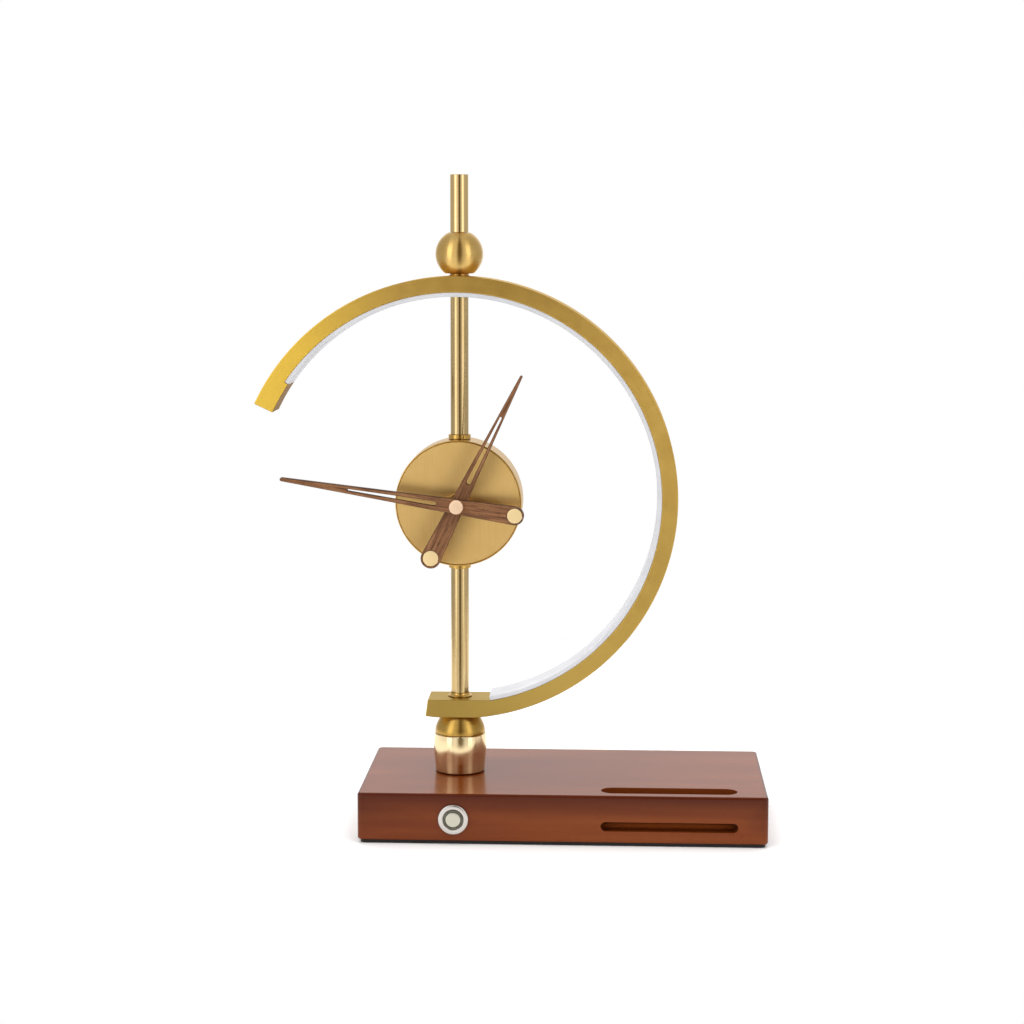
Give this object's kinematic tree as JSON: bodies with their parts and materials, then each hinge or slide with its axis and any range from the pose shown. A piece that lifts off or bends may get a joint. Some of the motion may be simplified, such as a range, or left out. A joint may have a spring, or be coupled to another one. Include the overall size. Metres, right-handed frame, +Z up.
{
  "type": "desk lamp clock",
  "caption": "Table clock and lamp: wooden base with phone groove, sound slot and push switch; brass column carrying an open light ring and a drum clock with long slotted hands.",
  "frame": {"origin": "middle of the base's underside, on the table", "axes": "+X to the viewer's right, +Y away from the viewer (the dial faces -Y), +Z up"},
  "size_m": [0.3051, 0.1237, 0.3893],
  "materials": {
    "lacquered_wood": "red-brown wood under clear gloss lacquer",
    "felt": "black pressed felt",
    "zinc_steel": "zinc plated",
    "circuit": "solder-masked glass laminate",
    "lead_sheath": "white soft sheath",
    "stainless": "turned and polished",
    "smoked_plastic": "smoked translucent, unlit",
    "spring_steel": "drawn wire and sheet",
    "black_nylon": "moulded, fine grain",
    "polished_brass": "polished and lacquered",
    "satin_brass": "satin turned",
    "brushed_brass": "circular brushed",
    "gold_aluminium": "gold anodised, satin",
    "opal_silicone": "opal white, unlit",
    "led_white": "white strip with emitters",
    "cell_jacket": "plain printed jacket with no print",
    "copper_wire": "enamelled winding",
    "acetal": "moulded white",
    "walnut": "oiled walnut"
  },
  "bodies": {
    "lamp": {"base_block": "lacquered_wood", "base_pad": "felt", "base_plate": "zinc_steel", "base_screw_1": "zinc_steel", "base_screw_2": "zinc_steel", "base_screw_3": "zinc_steel", "base_screw_4": "zinc_steel", "driver_board": "circuit", "led_lead": "lead_sheath", "switch_body": "stainless", "switch_light_ring": "smoked_plastic", "switch_spring": "spring_steel", "switch_nut": "zinc_steel", "switch_terminals": "black_nylon", "power_inlet": "black_nylon", "power_inlet_nut": "zinc_steel", "foot_barrel": "polished_brass", "foot_dome": "satin_brass", "column_nut": "zinc_steel", "threaded_pipe": "zinc_steel", "lower_collar": "satin_brass", "lower_rod": "polished_brass", "case_lower_collar": "satin_brass", "case_lower_nut": "zinc_steel", "case_upper_nut": "zinc_steel", "case_upper_collar": "satin_brass", "upper_rod": "polished_brass", "upper_tie_rod": "zinc_steel", "top_washer": "satin_brass", "finial_ball": "polished_brass", "finial_rod": "polished_brass", "ring_frame": "gold_aluminium", "ring_diffuser": "opal_silicone", "led_strip": "led_white", "clock_case": "brushed_brass", "dial_plate": "brushed_brass", "movement_front": "black_nylon", "movement_rear": "black_nylon", "movement_bush": "satin_brass", "bush_washer": "satin_brass", "bush_nut": "satin_brass", "cell": "cell_jacket", "cell_contact_plus": "spring_steel", "cell_contact_minus": "spring_steel", "stepper_coil": "copper_wire", "quartz_board": "circuit"},
    "minute_set": {"minute_arbor": "stainless", "minute_hand": "walnut", "minute_hand_disc": "polished_brass", "hub_cap": "polished_brass"},
    "hour_set": {"hour_wheel": "acetal", "hour_hand": "walnut", "hour_hand_disc": "polished_brass"},
    "setting_set": {"minute_wheel": "acetal", "setting_knob": "black_nylon"},
    "push_button": {"switch_button": "stainless"}
  },
  "joints": [
    {"name": "minute_hand_turn", "type": "hinge", "parent": "lamp", "child": "minute_set", "pos_m": [-0.0636, -0.0285, 0.19531], "axis": [0, 1, 0], "continuous": true},
    {"name": "hour_hand_turn", "type": "hinge", "parent": "lamp", "child": "hour_set", "pos_m": [-0.0636, -0.0219, 0.19531], "axis": [0, 1, 0], "continuous": true},
    {"name": "setting_knob_turn", "type": "hinge", "parent": "lamp", "child": "setting_set", "pos_m": [-0.0636, 0.008, 0.20491], "axis": [0, 1, 0], "continuous": true},
    {"name": "button_press", "type": "slide", "parent": "lamp", "child": "push_button", "axis": [0, 1, 0], "range_m": [0, 0.002], "stiffness_N_per_m": 500, "springref_m": -0.001, "deforming": ["switch_spring"]}
  ],
  "couplings": [
    {"joint": "hour_hand_turn", "follows": "minute_hand_turn", "ratio": 0.083333},
    {"joint": "setting_knob_turn", "follows": "minute_hand_turn", "ratio": -0.33333}
  ]
}
